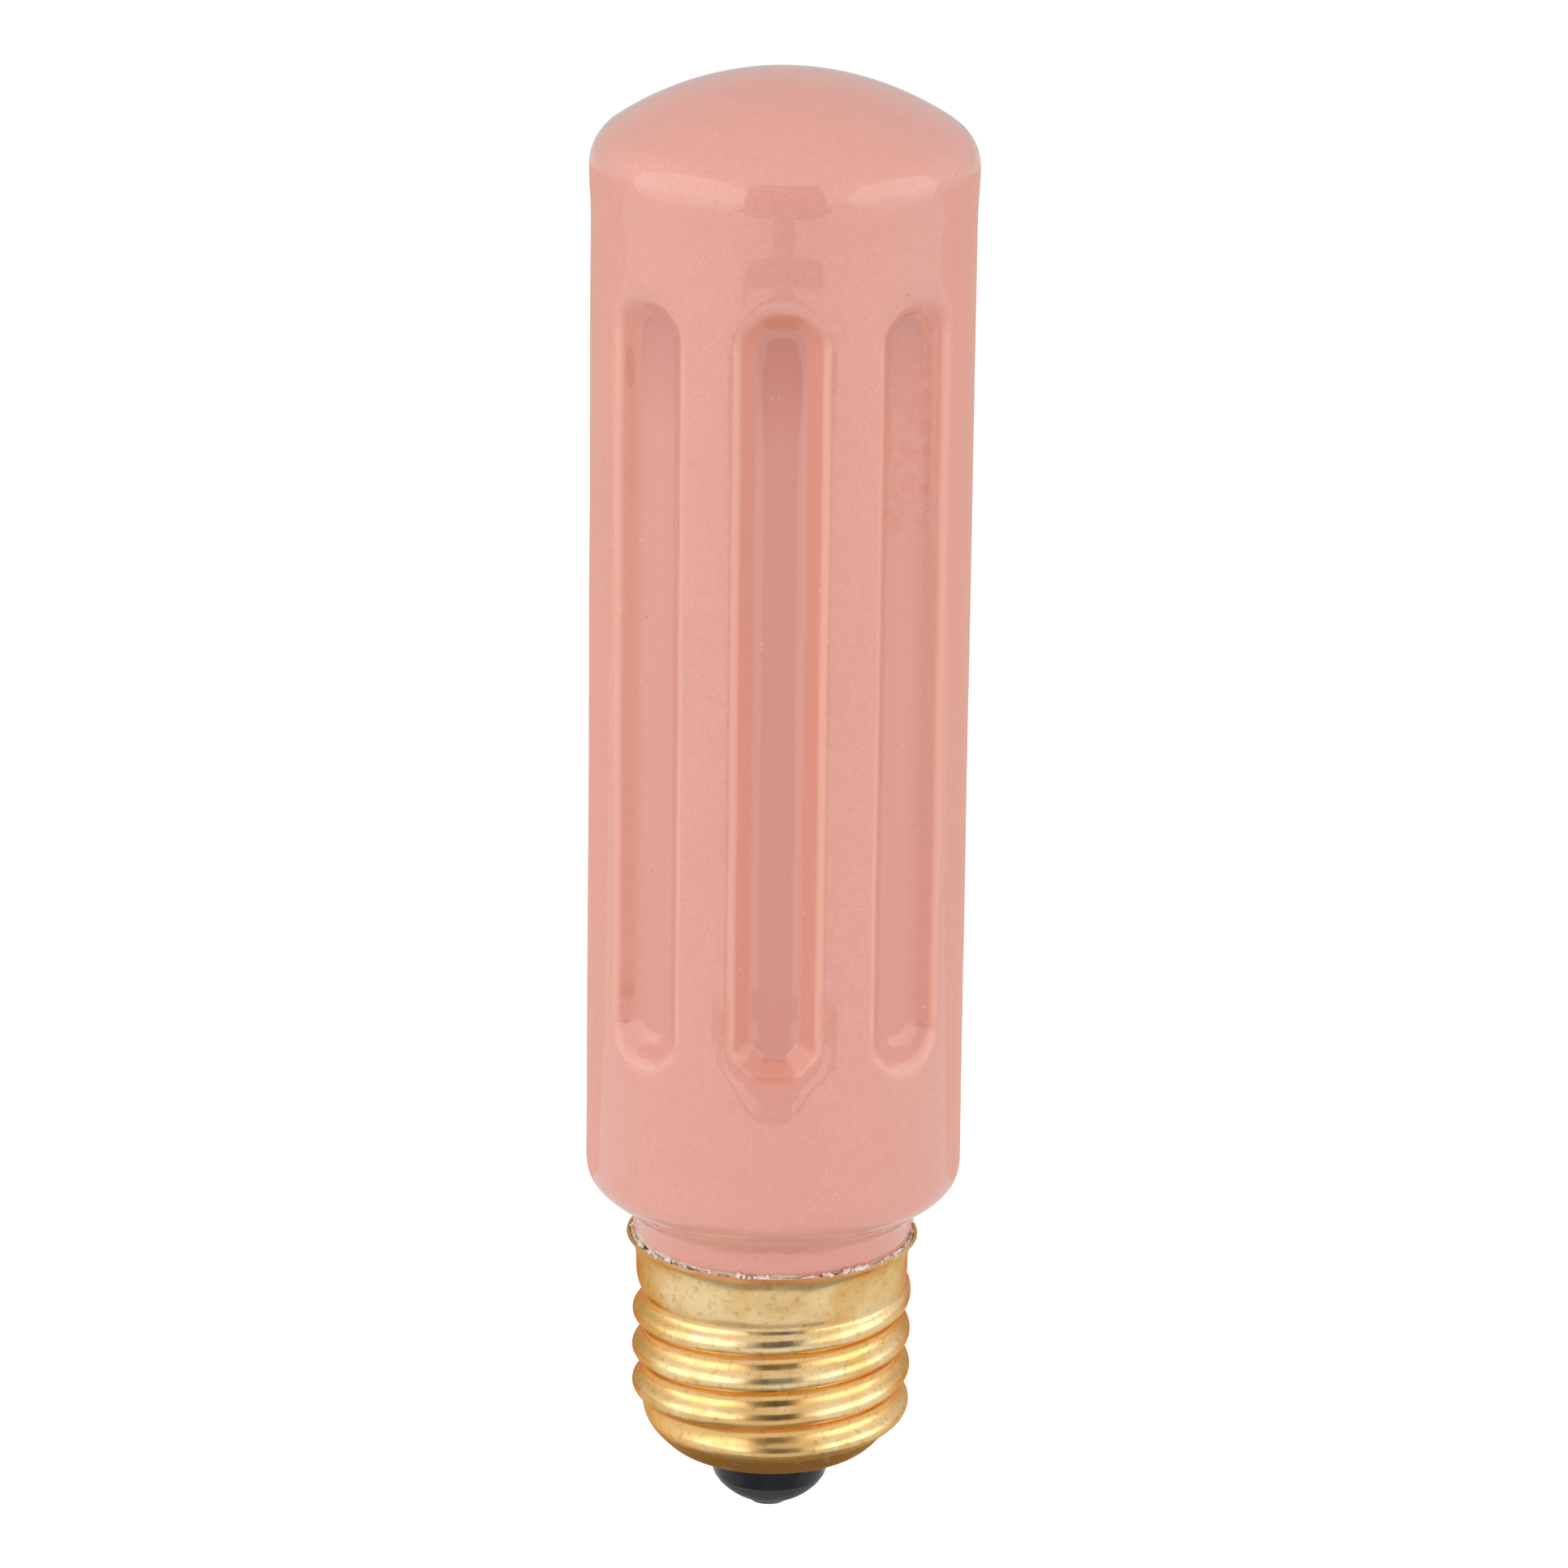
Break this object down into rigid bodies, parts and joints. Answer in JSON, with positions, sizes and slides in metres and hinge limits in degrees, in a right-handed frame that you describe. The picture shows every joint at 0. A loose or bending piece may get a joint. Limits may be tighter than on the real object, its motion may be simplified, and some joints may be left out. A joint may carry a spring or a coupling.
{
  "type": "ceramic heat emitter",
  "caption": "Tubular glazed ceramic heater with a domed end, long flutes along its barrel and a brass screw cap.",
  "frame": {"origin": "tip of the centre contact, on the axis, where the cap meets the bottom of its lamp holder", "axes": "+Z along the axis from the centre contact to the domed end; -Y towards the flute in the middle of the pictured side"},
  "size_m": [0.0354, 0.0354, 0.1385],
  "materials": {
    "glaze": "glossy salmon pink glaze with fine specks, worn thin and darker in the flutes",
    "cap_brass": "bright rolled sheet, a little browned at its lower end",
    "cement": "dry, crumbly white cement",
    "insulator_glass": "opaque black, glossy",
    "tinned_contact": "dull tinned surface",
    "solder": "dull solder",
    "lead_wire": "drawn nickel wire"
  },
  "bodies": {
    "root": {"ceramic_body": "glaze", "screw_shell": "cap_brass", "cap_cement": "cement", "base_insulator": "insulator_glass", "centre_contact": "tinned_contact", "contact_solder": "solder", "centre_lead": "lead_wire", "shell_lead": "lead_wire"}
  },
  "joints": []
}
